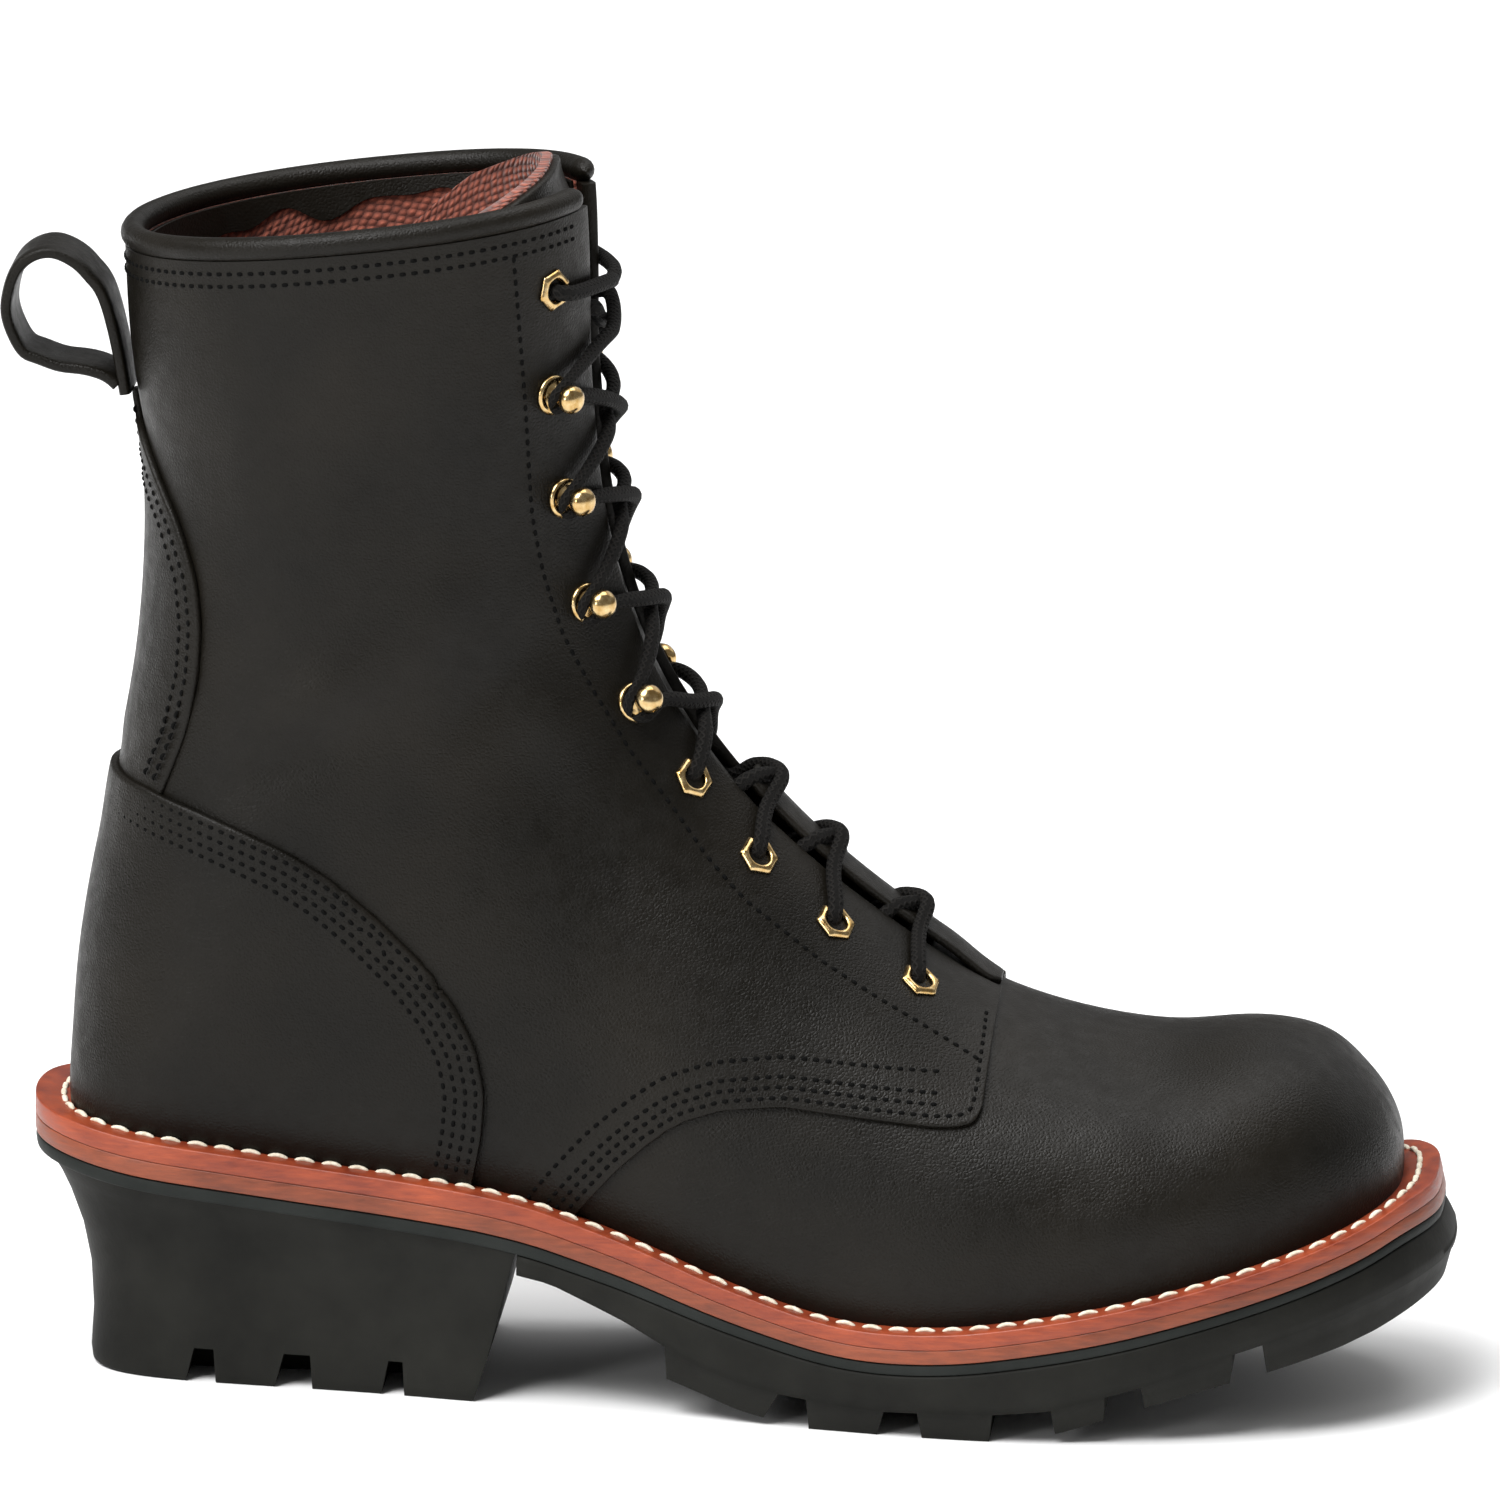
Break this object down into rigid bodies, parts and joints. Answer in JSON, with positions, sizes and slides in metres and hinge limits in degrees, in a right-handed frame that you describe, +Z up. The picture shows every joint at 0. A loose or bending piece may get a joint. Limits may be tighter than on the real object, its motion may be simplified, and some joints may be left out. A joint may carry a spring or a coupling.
{
  "type": "logger boot",
  "caption": "Right black leather lace-up logger boot, 8 inch shaft, plain toe, brass eyelets and hooks, welted brown midsole and a tall lugged rubber heel.",
  "frame": {"origin": "on the floor under the middle of the heel, on the flat bottom of the heel's middle rib", "axes": "+X towards the toe, +Y towards the inner side of the foot, +Z up"},
  "size_m": [0.3252, 0.1164, 0.2694],
  "materials": {
    "black_leather": "satin",
    "black_rubber": "matt",
    "band_rubber": "matt",
    "midsole_leather": "satin",
    "welt_leather": "satin",
    "insole_leather": "matt",
    "brass": "polished",
    "lace_cord": "matt"
  },
  "bodies": {
    "root": {"outsole": "black_rubber", "heel": "black_rubber", "rubber_midsole": "band_rubber", "midsole": "midsole_leather", "welt": "welt_leather", "insole": "insole_leather", "upper": "black_leather", "tongue": "black_leather", "counter": "black_leather", "backstay": "black_leather", "collar_roll": "black_leather", "pull_loop": "black_leather", "kiltie": "black_leather", "eyelet_1_lateral": "brass", "eyelet_1_medial": "brass", "eyelet_2_lateral": "brass", "eyelet_2_medial": "brass", "eyelet_3_lateral": "brass", "eyelet_3_medial": "brass", "eyelet_4_lateral": "brass", "eyelet_4_medial": "brass", "eyelet_9_lateral": "brass", "eyelet_9_medial": "brass", "hook_5_lateral": "brass", "hook_5_medial": "brass", "hook_6_lateral": "brass", "hook_6_medial": "brass", "hook_7_lateral": "brass", "hook_7_medial": "brass", "hook_8_lateral": "brass", "hook_8_medial": "brass", "lace": "lace_cord"}
  },
  "joints": []
}
